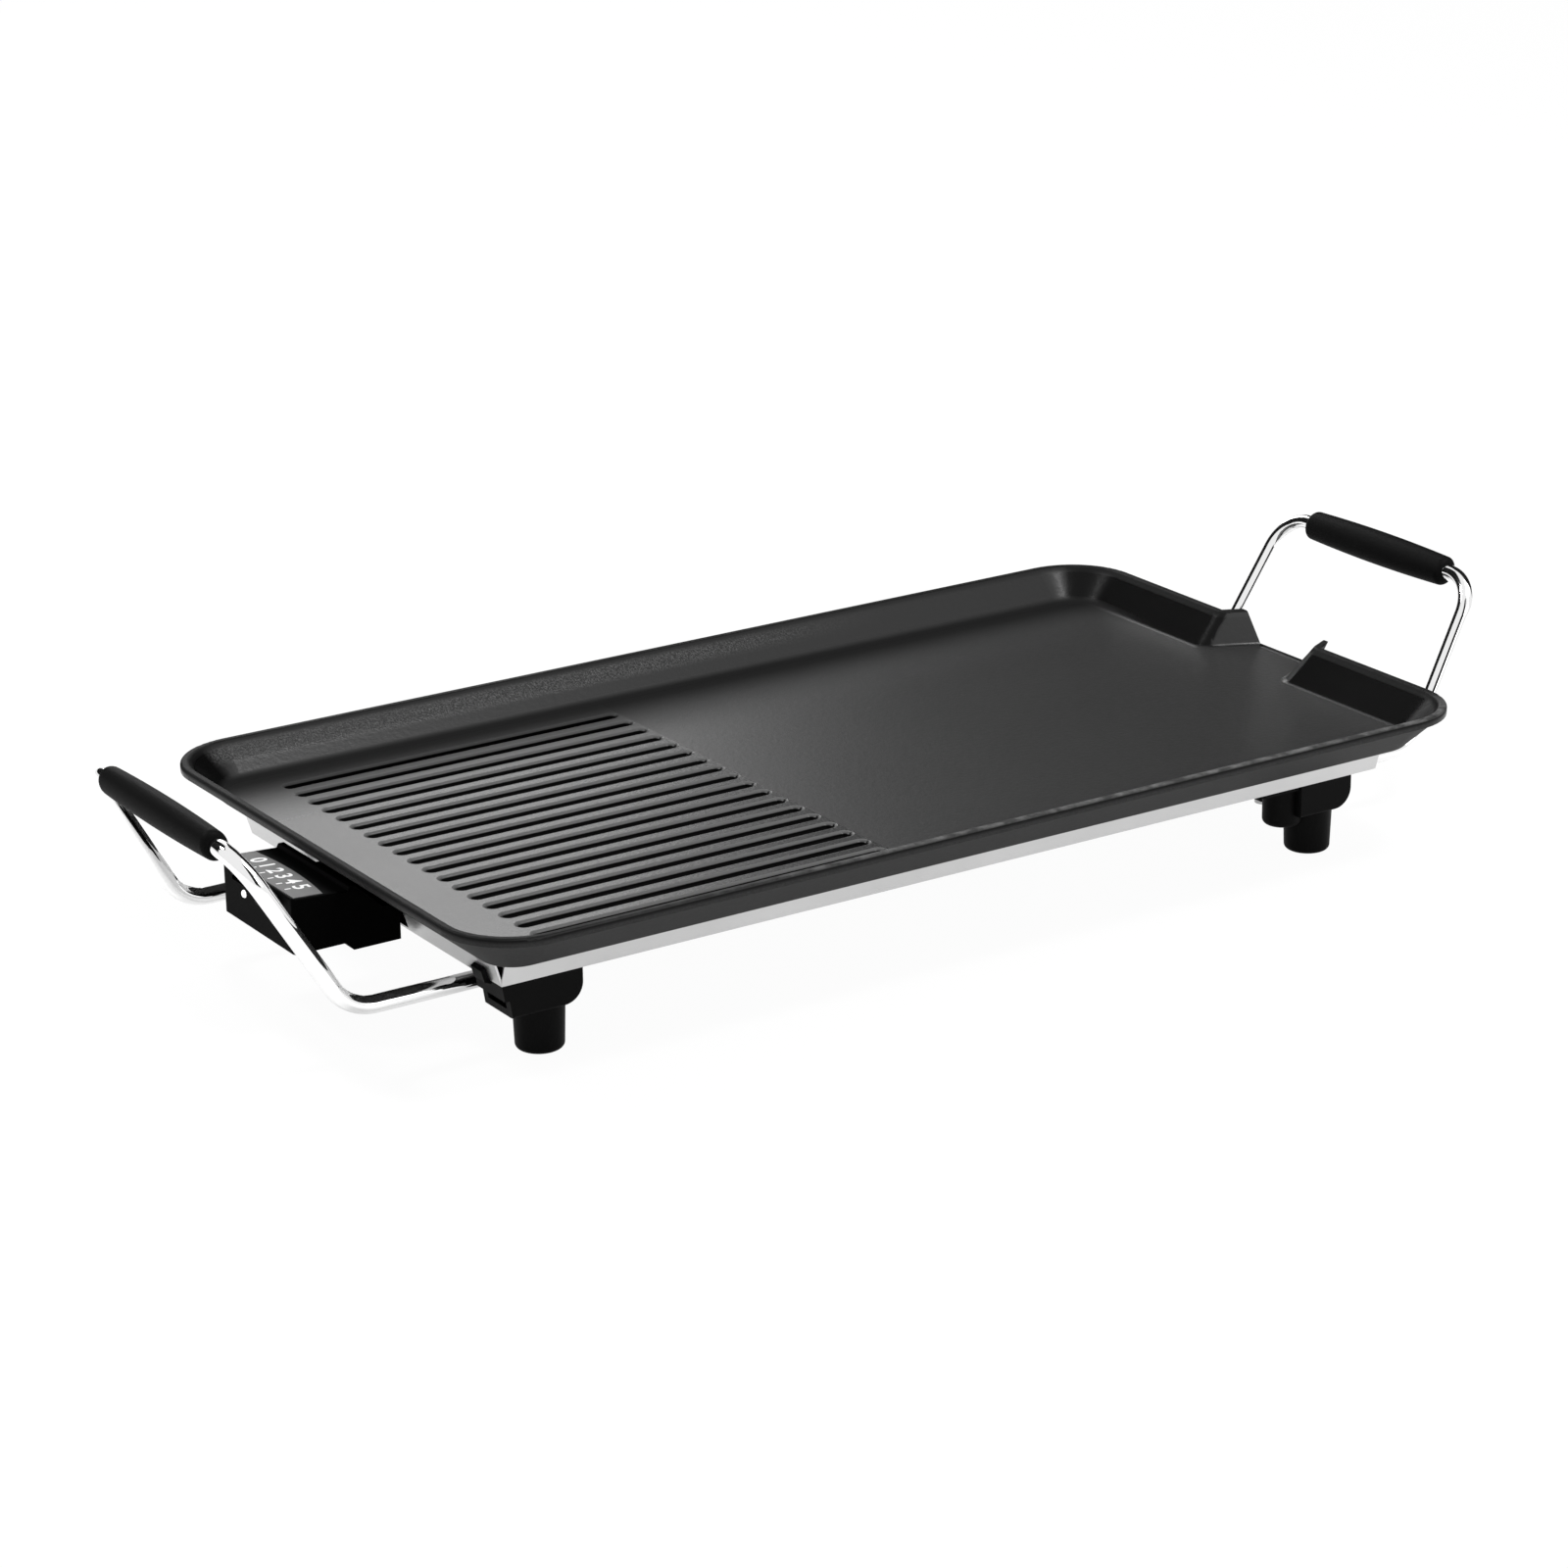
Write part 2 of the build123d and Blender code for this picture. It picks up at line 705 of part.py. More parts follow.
def control_profile():
    """The control from the side: label top, step, slope under the plate's wall, ledge and belly."""
    wall_top = Vector(lip_overhang - half_length, 0, z_rim - lip_height)
    wall_foot = Vector(outer_run - half_length, 0, z_plate)
    run = (wall_foot - wall_top).normalized()
    clear = wall_top + Vector(run.Z, 0, -run.X) * control_gap
    step_z = control_top_z - control_top_fall + control_step_rise

    def slope_x(z):
        return clear.X + (z - clear.Z) * run.X / run.Z

    belly_z = control_bottom_z - control_belly_drop
    return [
        (control_outer_x, control_bottom_z),
        (control_outer_x, control_top_z),
        (control_step_x, control_top_z - control_top_fall),
        (control_step_x + control_step_rise / 2, step_z),
        (slope_x(step_z), step_z),
        (slope_x(control_ledge_z), control_ledge_z),
        (control_inner_x, control_ledge_z),
        (control_inner_x, belly_z),
        (control_step_x + control_belly_drop / 2, belly_z),
        (control_step_x - control_belly_drop / 2, control_bottom_z),
    ]


def control_solid():
    box = profile_prism(control_profile(), control_half_width)
    outer_corners = box.edges().filter_by(Axis.Z).group_by(Axis.X)[0]
    box = fillet(outer_corners, control_edge_round)
    shelf = box.faces().filter_by(lambda face: face.center().X < control_step_x).sort_by(Axis.Z)[-1]
    shelf_rim = shelf.edges().filter_by(lambda edge: edge.center().X < control_step_x - fit)
    return fillet(shelf_rim, control_top_round)


def control_hollow():
    face = make_face(Polyline(*[(x, 0, z) for x, z in control_profile()], close=True))
    inside = offset(face, -control_wall, kind=Kind.INTERSECTION)
    return extrude(inside, amount=control_half_width - control_wall, dir=(0, 1, 0), both=True)


def cover_region():
    return block(2 * control_outer_x, control_split_x, -2 * control_half_width, 2 * control_half_width,
                 control_split_z, 2 * control_top_z)


def make_control_base():
    """Lower shell: belly, nose opening, cord hole and screw pillars."""
    solid = control_solid()
    shell = solid - control_hollow() - cover_region()
    pillars = [
        rod((x, y, 0), (x, y, control_split_z), control_boss_radius) & solid
        for x, y in control_screw_spots]
    nose_hole = block(control_inner_x - control_wall, control_inner_x, -nose_half_width - seat,
                      nose_half_width + seat, nose_bottom_z - seat, nose_top_z + seat)
    cord_hole = rod((gland_x, control_half_width - control_wall - gland_inside - slip, gland_z),
                    (gland_x, control_half_width + through, gland_z), gland_radius + fit)
    holes = []
    for x, y in control_screw_spots:
        seat_z = control_screw_seat(x)
        holes.append(rod((x, y, seat_z), (x, y, control_split_z), small_screw_radius + screw_play))
        holes.append(rod((x, y, 0), (x, y, seat_z), small_screw_head_radius + screw_play))
    return shell + pillars - nose_hole - cord_hole - holes


def make_control_cover():
    """Upper shell: label pocket, slider slot, lens hole, rail sockets and screw pillars."""
    solid = control_solid()
    region = cover_region()
    shell = (solid - control_hollow()) & region
    pillars = [
        rod((x, y, control_split_z), (x, y, control_top_z), control_boss_radius) & solid
        for x, y in control_screw_spots]
    threads = [
        rod((x, y, control_split_z), (x, y, control_split_z + control_screw_bite + slip),
            small_screw_radius + fit)
        for x, y in control_screw_spots]
    slot = block(control_outer_x - through, control_outer_x + control_wall + through, -slot_half_length,
                 slot_half_length, slot_z - slot_height / 2, slot_z + slot_height / 2)
    lens_hole = rod((control_outer_x, lens_y, lens_z), (control_outer_x + control_wall, lens_y, lens_z),
                    lens_radius + fit)
    rail_half = control_half_width - control_wall + rail_socket
    sockets = rod((rail_x, -rail_half, slot_z), (rail_x, rail_half, slot_z), rail_radius + fit)
    return shell + pillars - threads - slot - lens_hole - sockets - label_solid(seat, control_wall)


def label_solid(extra, above):
    """The label panel let into the sloped top, or its pocket when drawn larger."""
    x0 = control_outer_x + label_side_margin - extra
    x1 = control_outer_x + label_side_margin + label_length + extra
    half = control_half_width - label_side_margin + extra
    bow = ThreePointArc((x1 - label_bow, half), (x1, 0), (x1 - label_bow, -half))
    edge = Polyline((x1 - label_bow, -half), (x0, -half), (x0, half), (x1 - label_bow, half))
    column = extrude(make_face(bow + edge), amount=2 * control_top_z)
    fall = control_top_fall / (control_step_x - control_outer_x)
    low = control_top_z - label_sink
    high = low + label_thickness + above
    span = control_step_x - control_outer_x
    sheet = profile_prism(
        [(control_outer_x, low), (control_step_x, low - fall * span), (control_step_x, high - fall * span),
         (control_outer_x, high)], control_half_width)
    return column & sheet


def make_label():
    return label_solid(0, 0)


def make_lens():
    """Domed lens through the outer wall."""
    front = control_outer_x - lens_radius / 2
    body = rod((front, lens_y, lens_z), (front + lens_length, lens_y, lens_z), lens_radius)
    return fillet(body.edges().group_by(Axis.X)[0], lens_radius / 2)


def make_lamp():
    start = control_outer_x - lens_radius / 2 + lens_length + seat
    return rod((start, lens_y, lens_z), (start + lamp_length, lens_y, lens_z), lamp_radius)


def make_contact_block():
    """Moulded nose that carries the sleeves and lets the probe through."""
    wall_x = control_inner_x - control_wall
    nose = block(wall_x - seat, nose_inner_x, -nose_half_width, nose_half_width, nose_bottom_z, nose_top_z)
    flange = block(nose_back_x, wall_x - seat, -nose_half_width - nose_flange_step,
                   nose_half_width + nose_flange_step, nose_bottom_z - nose_flange_step / 2, nose_top_z)
    bores = []
    for y in (-terminal_y, terminal_y):
        start = (nose_back_x, y, terminal_z)
        bores.append(rod(start, (nose_back_x + sleeve_length, y, terminal_z), sleeve_radius + fit))
        bores.append(rod(start, (nose_inner_x, y, terminal_z), pin_radius + 2 * slip))
    probe_bore = rod((nose_back_x, 0, probe_z), (nose_inner_x, 0, probe_z), probe_radius + fit)
    return nose + flange - bores - probe_bore


def make_sleeves():
    sleeves = []
    for y in (-terminal_y, terminal_y):
        start = (nose_back_x, y, terminal_z)
        end = (nose_back_x + sleeve_length, y, terminal_z)
        sleeves.append(rod(start, end, sleeve_radius) - rod(start, end, pin_radius + slip))
    return group(sleeves)


def make_blades():
    """Flat contact blades from the sleeves back to the thermostat's sides."""
    blades = []
    for side in (-1, 1):
        y = side * terminal_y
        blades.append(block(thermostat_x, nose_back_x - seat, y - strip_width / 2, y + strip_width / 2,
                            terminal_z - blade_thickness, terminal_z))
    return group(blades)


def make_thermostat():
    """Ceramic block on the belly floor, bored for the probe."""
    half = terminal_y - strip_width / 2 - seat
    body = block(thermostat_x, nose_back_x - seat, -half, half, belly_floor_z,
                 belly_floor_z + thermostat_height)
    bore = rod((thermostat_x, 0, probe_z), (nose_back_x, 0, probe_z), probe_radius + fit)
    return body - bore


def make_bimetal():
    """Strip laid on the thermostat block and reaching out under the slider."""
    top = belly_floor_z + thermostat_height
    return block(thermostat_x - strip_reach, nose_back_x - seat, -strip_width / 2, strip_width / 2,
                 top, top + strip_thickness)


def make_probe():
    """Sensing rod with a rounded tip."""
    body = rod((thermostat_x, 0, probe_z), (probe_tip_x, 0, probe_z), probe_radius)
    return fillet(body.edges().group_by(Axis.X)[-1], probe_radius * 0.8)


def make_rail():
    half = control_half_width - control_wall + rail_socket - fit
    return rod((rail_x, -half, slot_z), (rail_x, half, slot_z), rail_radius)


def make_slider():
    """Knob outside, stem through the slot, carriage on the rail inside; set near the slot's hot end."""
    inside = control_outer_x + control_wall + slip
    carriage = block(inside, inside + carriage_depth, -carriage_width / 2, carriage_width / 2,
                     slot_z - carriage_height / 2, slot_z + carriage_height / 2)
    knob_back = control_outer_x - slip
    knob = block(knob_back - knob_depth, knob_back, -knob_width / 2, knob_width / 2,
                 slot_z - knob_height / 2, slot_z + knob_height / 2)
    knob = fillet(knob.edges().group_by(Axis.X)[0] + knob.edges().filter_by(Axis.X), knob_round)
    stem_half = slot_height / 2 - slip
    stem = block(knob_back - knob_depth / 2, inside + carriage_depth / 2, -stem_width / 2, stem_width / 2,
                 slot_z - stem_half, slot_z + stem_half)
    bore = rod((rail_x, -carriage_width, slot_z), (rail_x, carriage_width, slot_z), rail_radius + running)
    return Pos(0, -slider_rest, 0) * (knob + stem + carriage - bore)


def make_gland():
    """Cord bush in the far side wall, left empty."""
    face = control_half_width
    flange = rod((gland_x, face, gland_z), (gland_x, face + gland_flange, gland_z), gland_flange_radius)
    neck = rod((gland_x, face - control_wall - gland_inside, gland_z), (gland_x, face, gland_z),
               gland_radius)
    bore = rod((gland_x, 0, gland_z), (gland_x, 2 * face, gland_z), gland_bore)
    return flange + neck - bore


def make_control_screws():
    return group(
        upward_screw(x, y, control_screw_seat(x), small_screw_radius, small_screw_head_radius,
                     small_screw_head, control_split_z + control_screw_bite - control_screw_seat(x))
        for x, y in control_screw_spots)


def corner_name(x_side, y_side):
    return ("near" if y_side < 0 else "far") + "_" + ("left" if x_side < 0 else "right")


def to_corner(solid, x_side, y_side):
    """Mirrors or turns a +X +Y piece to another corner."""
    if x_side < 0 and y_side < 0:
        return Rot(0, 0, 180) * solid
    if x_side < 0:
        return mirror(solid, about=Plane.YZ)
    if y_side < 0:
        return mirror(solid, about=Plane.XZ)
    return solid


def make_parts():
    parts = {
        "cooking_plate": make_plate(),
        "heating_element": make_element(),
        "terminal_pins": make_terminal_pins(),
        "terminal_seals": make_terminal_seals(),
        "element_clamp_bars": make_clamp_bars(),
        "element_clamp_screws": make_clamp_bar_screws(),
        "terminal_bracket": make_bracket(),
        "terminal_bracket_screws": make_bracket_screws(),
        "reflector_tray": make_tray(),
        "foot_screws": make_foot_screws(),
        "handle_clamp_screws": make_clamp_screws(),
        "handle_clamp_nuts": make_clamp_nuts(),
        "control_base": make_control_base(),
        "control_cover": make_control_cover(),
        "control_label": make_label(),
        "indicator_lens": make_lens(),
        "indicator_lamp": make_lamp(),
        "contact_block": make_contact_block(),
        "contact_sleeves": make_sleeves(),
        "contact_blades": make_blades(),
        "thermostat_block": make_thermostat(),
        "bimetal_strip": make_bimetal(),
        "probe_rod": make_probe(),
        "slider_rail": make_rail(),
        "temperature_slider": make_slider(),
        "cord_gland": make_gland(),
        "control_screws": make_control_screws(),
    }
    hooked_foot = make_foot(hooked_block())
    plain_foot = make_foot(plain_block())
    clamp = make_handle_clamp()
    for x_side, y_side in corners:
        foot = hooked_foot if x_side == y_side else plain_foot
        turn = 0 if y_side < 0 else 180
        place = Pos(x_side * foot_x, y_side * foot_y, 0) * Rot(0, 0, turn)
        parts["foot_" + corner_name(x_side, y_side)] = place * foot
        parts["handle_clamp_" + corner_name(x_side, y_side)] = to_corner(clamp, x_side, y_side)
    handle = make_handle()
    grip = make_grip()
    for name, x_side in (("left", -1), ("right", 1)):
        parts["handle_" + name] = to_corner(handle, x_side, 1)
        parts["grip_" + name] = to_corner(grip, x_side, 1)
    return parts


def main():
    os.makedirs("parts", exist_ok=True)
    for name, solid in make_parts().items():
        export_step(solid, f"parts/{name}.step")
        print(name, round(solid.volume, 1), len(solid.solids()))


if __name__ == "__main__":
    main()
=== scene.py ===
# %% [markdown]
# # An electric griddle, dressed for its photograph
# A long cast pan stands on a bright sheet tray, with black feet, two chromed wire handles and a
# small black control that plugs into one end. The solids come in from the model with their real
# sizes, so this lesson is about what a photograph adds: where the camera stands, what light falls
# on the pan, and what each surface is made of.

# %% Load the solids
import bpy
from math import cos, radians, sin
from mathutils import Matrix, Vector


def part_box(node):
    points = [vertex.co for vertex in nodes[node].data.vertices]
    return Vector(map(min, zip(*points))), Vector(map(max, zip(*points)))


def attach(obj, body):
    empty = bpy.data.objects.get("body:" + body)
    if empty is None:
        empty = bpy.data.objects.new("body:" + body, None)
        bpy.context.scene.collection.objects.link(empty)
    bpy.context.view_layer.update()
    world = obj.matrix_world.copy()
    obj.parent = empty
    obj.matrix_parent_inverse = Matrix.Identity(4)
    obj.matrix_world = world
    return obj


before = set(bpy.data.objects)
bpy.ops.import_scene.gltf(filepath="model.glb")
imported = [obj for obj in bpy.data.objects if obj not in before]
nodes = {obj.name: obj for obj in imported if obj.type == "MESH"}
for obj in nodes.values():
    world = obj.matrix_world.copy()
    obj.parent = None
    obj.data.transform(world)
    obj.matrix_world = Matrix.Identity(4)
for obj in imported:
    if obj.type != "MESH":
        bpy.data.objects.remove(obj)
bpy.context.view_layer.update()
scene = bpy.context.scene
scene.view_settings.view_transform = "Standard"

# %% [markdown]
# ## The camera
# The picture was taken from a little above the control end with a long lens, so the far edge of
# the pan stays nearly as wide as the near one. One could drag a camera until it looks right; here
# its place comes from the pan's corners, the tray and the handles measured in the picture. Yaw is
# turned from straight ahead (+Y), pitch is down, and a hair of roll follows the picture's own tilt.

# %% Camera
camera_place = Vector((-0.9821, -1.4767, 0.6732))
yaw, pitch, roll = radians(33.107), radians(19.575), radians(-0.752)
lens_mm, sensor_mm = 103.09, 36
far_clip = 30

forward = Vector((sin(yaw) * cos(pitch), cos(yaw) * cos(pitch), -sin(pitch)))
right = Vector((cos(yaw), -sin(yaw), 0))
up = right.cross(forward)
side_axis = cos(roll) * right + sin(roll) * up
top_axis = -sin(roll) * right + cos(roll) * up
camera_data = bpy.data.cameras.new("photo_camera")
camera_data.lens = lens_mm
camera_data.sensor_width = sensor_mm
camera_data.clip_end = far_clip
camera = bpy.data.objects.new("photo_camera", camera_data)
turn = Matrix((side_axis, top_axis, -forward)).transposed().to_4x4()
camera.matrix_world = Matrix.Translation(camera_place) @ turn
scene.collection.objects.link(camera)
scene.camera = camera
print("camera", [round(v, 3) for v in camera_place], "lens", lens_mm)

# %% [markdown]
# ## Writing shaders as sums
# A material is a graph of nodes, which is slow to read when every link is spelled out. A small
# class holds one socket and lets ordinary arithmetic add the Math nodes, so a roughness can be
# written as `0.4 + 0.1 * speckle`. Any other node comes from one method: its kind, its settings,
# and what goes into its sockets.

# %% A socket that can do sums
class Wire:
    """One output socket in a material's tree."""

    def __init__(self, tree, socket=None):
        self.tree = tree
        self.socket = socket

    def node(self, kind, settings=None, inputs=None, out=0):
        made = self.tree.nodes.new("ShaderNode" + kind)
        for key, value in (settings or {}).items():
            if key == "stops":
                self.set_stops(made.color_ramp, value)
            else:
                setattr(made, key, value)
        for key, value in (inputs or {}).items():
            if isinstance(value, Wire):
                self.tree.links.new(value.socket, made.inputs[key])
            else:
                made.inputs[key].default_value = value
        return Wire(self.tree, made.outputs[out])

    @staticmethod
    def set_stops(ramp, stops):
        while len(ramp.elements) < len(stops):
            ramp.elements.new(1.0)
        for element, (place, level) in zip(ramp.elements, stops):
            element.position = place
            element.color = grey(level)

    def math(self, operation, left, other):
        return self.node("Math", {"operation": operation}, {0: left, 1: other})

    def __add__(self, other):
        return self.math("ADD", self, other)

    __radd__ = __add__

    def __sub__(self, other):
        return self.math("SUBTRACT", self, other)

    def __rsub__(self, other):
        return self.math("SUBTRACT", other, self)

    def __mul__(self, other):
        return self.math("MULTIPLY", self, other)

    __rmul__ = __mul__

    def xyz(self):
        """The three numbers of a vector, one wire each."""
        split = self.node("SeparateXYZ", None, {0: self}).socket.node
        return [Wire(self.tree, number) for number in split.outputs]

    def span(self, start, end):
        """0 before start and 1 after end, straight between; start may be the larger."""
        return self.node("MapRange", None, {"Value": self, "From Min": start, "From Max": end})

    def ramp(self, *stops):
        return self.node("ValToRGB", {"stops": stops}, {0: self})

    def mix(self, low, high):
        """A colour between two, by this socket; 6 and 7 are the node's two colour sockets."""
        return self.node("Mix", {"data_type": "RGBA"}, {0: self, 6: low, 7: high}, out=2)


def grey(level):
    return (level, level, level, 1)


# %% [markdown]
# ## Starting a finish
# Every finish here is one material with one main shader, fed by noise that is laid out in the
# metres of the solids. A painted image could do the same, but each solid would have to be
# unwrapped for it. Noise needs no unwrapping, stays sharp close to, and takes its size in metres,
# so a grain of half a millimetre is written as one.

# %% Helpers for finishes
def start_finish(name):
    """A new material with its shader, and a wire with each point's place on its solid."""
    material = bpy.data.materials.new(name)
    material.use_nodes = True
    tree = material.node_tree
    shader = tree.nodes["Principled BSDF"]
    place = Wire(tree).node("TexCoord", out=3)
    return material, shader, place


def feed(shader, **sockets):
    """Sets or links the shader's sockets; underscores stand for spaces."""
    for key, value in sockets.items():
        socket = shader.inputs[key.replace("_", " ")]
        if isinstance(value, Wire):
            value.tree.links.new(value.socket, socket)
        else:
            socket.default_value = value


def noise(place, size, detail=2.0, roughness=0.5):
    """Even noise, 0 to 1, with blotches about `size` metres across."""
    inputs = {"Vector": place, "Scale": 1 / size, "Detail": detail, "Roughness": roughness}
    return place.node("TexNoise", None, inputs)


def bump(height, depth, strength):
    """A normal from a height that spans `depth` metres."""
    return height.node("Bump", None, {"Height": height, "Distance": depth, "Strength": strength})


def wear(material, *names):
    """Puts a finish on the named solids."""
    for name in names:
        nodes[name].data.materials.clear()
        nodes[name].data.materials.append(material)
    print(material.name, "on", len(names), "pieces")


# %% [markdown]
# ## The cast pan: finding places
# The pan is cast metal under a dark non-stick coat, and the coat changes from place to place, with
# grooves darkened by painted shade, rubbed edges that also carry a painted highlight, and a grainy
# back wall. The pan could be cut into several materials, but a seam would show wherever two of
# them meet. Here masks find the places by the form itself.
# Height tells groove, floor and rim apart. The way a face looks tells floor from wall. How far
# along and across the pan a point lies tells the two halves and the edges apart.

# %% Places on the casting
floor_level, rim_level = 0.0525, 0.0665
ribs_end, half_seam = -0.037, 0.0005
# Heights at which the painted shade in the groove bottoms starts and is full
groove_shade_from, groove_shade_full = floor_level - 0.00075, floor_level - 0.001
shoulder_full = floor_level - 0.00002
shade_from, shade_full = 0.055, 0.113
near_from, near_full = -0.11, -0.13

pan_coat, shader, place = start_finish("pan_coat")
along, across, height = place.xyz()
backward, upward = place.node("TexCoord", out=1).xyz()[1:]

looks_up = upward.span(0.1, 0.3)
outside = upward.span(-0.1, -0.4)
on_slope = upward.span(0.95, 0.8) * upward.span(0.3, 0.5)
back_slope = on_slope * backward.span(-0.6, -0.68)
turned_away = on_slope * backward.span(0.1, 0.4)
flat_half = along.span(ribs_end - half_seam, ribs_end + half_seam) * upward.span(0.95, 0.99)

# Groove bottoms, which get painted shade; groove sides that look to the front, which get a painted
# highlight; and the floor along the back wall's foot, which gets painted shade
in_groove = looks_up * height.span(groove_shade_from, groove_shade_full)
painted_shoulder_highlight = looks_up * backward.span(-0.01, -0.12) * height.span(floor_level, shoulder_full)
toward_back = across.span(shade_from, shade_full)
near_floor = height.span(floor_level + 0.003, floor_level + 0.0008)
# painted shade on the floor along the back wall's foot
foot_shade = toward_back * toward_back * near_floor * looks_up

# The rim, its crest, rubbed and with a painted highlight that is strongest on the near side, and a band
# below the rim
rim_zone = height.span(rim_level - 0.0025, rim_level - 0.001)
crest = height.span(rim_level - 0.0008, rim_level - 0.0001)
on_rim = crest * (0.05 + 0.95 * across.span(near_from, near_full) * along.span(-0.2, 0.0))
above_foot = height.span(rim_level - 0.008, rim_level - 0.005)
upper_band = above_foot * height.span(rim_level - 0.001, rim_level - 0.003)
print("nodes that find places", len(pan_coat.node_tree.nodes))

# %% [markdown]
# ## The cast pan: colour, gloss and grain
# Close to, the coat is not one grey. It carries a fine speckle, a slight orange peel that breaks
# the highlights, and soft patches where the spray lay thicker, all from noise at real sizes. The
# masks then lay one tone over another, in order. Walls and rim are painted nearly black as painted
# shade, and the back wall, which faces the front, is painted paler as painted light, palest beside
# the spout. Groove bottoms are black with painted shade, and set as metal, because black metal has
# hardly any sheen to wash them out. Groove sides that look to the front are paler with a painted
# highlight. The rim's crest is rubbed paler, most on its near side, where a painted highlight is
# laid in with the wear. The back wall has casting grain in a band below its rim, and painted shade
# darkens the floor along that wall's foot. Rim, outside, flat half and the wall that looks away are
# duller than the ribs.

# %% Pan coat
horn_from, horn_full = 0.216, 0.224
shoulder_foot = floor_level - 0.0009

speckle = noise(place, 0.0006, detail=3.0)
peel = noise(place, 0.0022)
patches = noise(place, 0.06, detail=3.0)
cast_grain = noise(place, 0.0009, roughness=0.6).span(0.4, 0.7)
grain = back_slope * upper_band * along.span(0.12, -0.02) * cast_grain
# wear and a painted highlight on the rim's crest, strongest on the near side
rubbed_and_highlight = noise(place, 0.007, detail=4.0, roughness=0.65).ramp((0.4, 0.25), (0.66, 1.0)) * on_rim
# painted light on the back wall, which faces the front, palest beside the spout
painted_wall_light = along.span(horn_from, horn_full).mix(grey(0.009), grey(0.026))
# painted highlight on the groove sides, palest at their top
shoulder_highlight_tone = height.span(floor_level, shoulder_foot).mix(grey(0.085), grey(0.04))

tone = speckle.ramp((0.35, 0.0), (0.75, 1.0)).mix(grey(0.016), grey(0.026))
for where, laid_over in (
    # painted shade: walls and rim nearly black
    (on_slope + rim_zone, grey(0.002)),
    # painted light on the back wall
    (back_slope, painted_wall_light),
    (grain, grey(0.06)),
    # painted highlight on the groove sides that look to the front
    (painted_shoulder_highlight, shoulder_highlight_tone),
    # painted shade along the back wall's foot
    (foot_shade, grey(0.004)),
    # painted shade: the groove bottoms nearly black
    (in_groove, grey(0.001)),
    # rubbed rim: wear together with a painted highlight
    (rubbed_and_highlight, grey(0.09)),
):
    tone = where.mix(tone, laid_over)

roughness = 0.2
for duller_by, where in (
    (0.05, patches), (0.05, speckle), (0.3, in_groove), (0.33, outside), (0.08, flat_half),
    (0.35, rim_zone), (0.35, turned_away), (0.5, foot_shade),
):
    roughness = roughness + duller_by * where

feed(
    shader,
    Base_Color=tone,
    Roughness=roughness,
    Normal=bump(0.4 * speckle + peel + 2.5 * grain, depth=0.0001, strength=0.5),
    # metal in the grooves takes away their sheen, as part of their painted shade
    Metallic=in_groove,
    Specular_IOR_Level=0.08,
)
wear(pan_coat, "cooking_plate")

# %% [markdown]
# ## Bright sheet and chrome
# The tray is rolled sheet, left bright. Rolling leaves faint lines along the sheet, so its noise is
# stretched to lines 55 mm long and about 1 mm apart. The handles are chrome plate: nearly a mirror,
# so what they show is the studio around them. One could leave the mirror perfect, but a little haze
# in the roughness keeps it from looking like glass.

# %% Tray sheet and chrome
rolling_scale = (18, 900, 900)

tray_sheet, shader, place = start_finish("tray_sheet")
stretched = place.node("Mapping", None, {"Vector": place, "Scale": rolling_scale})
rolling = stretched.node("TexNoise", None, {"Vector": stretched, "Scale": 1.0, "Detail": 2.0})
smudge = noise(place, 0.03)
feed(
    shader,
    Base_Color=smudge.mix(grey(0.53), grey(0.63)),
    Metallic=1.0,
    Roughness=0.22 + 0.12 * rolling + 0.06 * smudge,
    Normal=bump(rolling, depth=0.00004, strength=0.4),
)
wear(tray_sheet, "reflector_tray")

chrome, shader, place = start_finish("chrome")
haze = noise(place, 0.012, detail=3.0)
feed(
    shader,
    Base_Color=haze.mix(grey(0.82), grey(0.88)),
    Metallic=1.0,
    Roughness=0.035 + 0.04 * haze,
)
wear(chrome, "handle_left", "handle_right")

# %% [markdown]
# ## Plain steels
# Screws, pins, bars, rods and brackets are zinc-plated steel, and the heating element's tube is a
# darker steel, toned by heat. They could share one grey, but two tones tell the hot tube from its
# fittings. One function makes both, because only their numbers differ.

# %% Zinc-plated and heat-toned steel
darker, paler = 0.85, 1.15


def steel(name, level, low, high):
    """Steel of a grey level with a fine grain, its roughness between low and high."""
    material, shader, place = start_finish(name)
    grain = noise(place, 0.0008, detail=3.0)
    blotch = noise(place, 0.008)
    feed(
        shader,
        Base_Color=blotch.mix(grey(level * darker), grey(level)),
        Metallic=1.0,
        Roughness=low + (high - low) * grain,
        Normal=bump(grain, depth=0.00003, strength=0.4),
    )
    return material


wear(
    steel("zinc_steel", level=0.56, low=0.26, high=0.4),
    "terminal_pins", "element_clamp_bars", "element_clamp_screws", "terminal_bracket",
    "terminal_bracket_screws", "foot_screws", "handle_clamp_screws", "handle_clamp_nuts",
    "probe_rod", "slider_rail", "control_screws",
)
wear(steel("element_steel", level=0.3, low=0.34, high=0.5), "heating_element")

# %% [markdown]
# ## Black mouldings
# Grips, feet and control are black plastic, and the cord gland is rubber. Moulded plastic is never
# a flat black: the tool leaves a fine grain that spreads the highlight, and the flow leaves faint
# patches in the gloss. A single black would do from afar, but each has its own gloss close to: the
# grips are duller than the feet, and the control is the smoothest and the darkest.

# %% Moulded plastics
def moulding(name, level, roughness, shine, grain_size, grain_depth):
    """Black plastic or rubber; sizes in metres."""
    material, shader, place = start_finish(name)
    grain = noise(place, grain_size)
    flow = noise(place, 0.02)
    feed(
        shader,
        Base_Color=flow.mix(grey(level * darker), grey(level * paler)),
        Roughness=roughness + 0.08 * flow + 0.05 * grain,
        Normal=bump(grain, grain_depth, strength=0.5),
        Specular_IOR_Level=shine,
    )
    return material


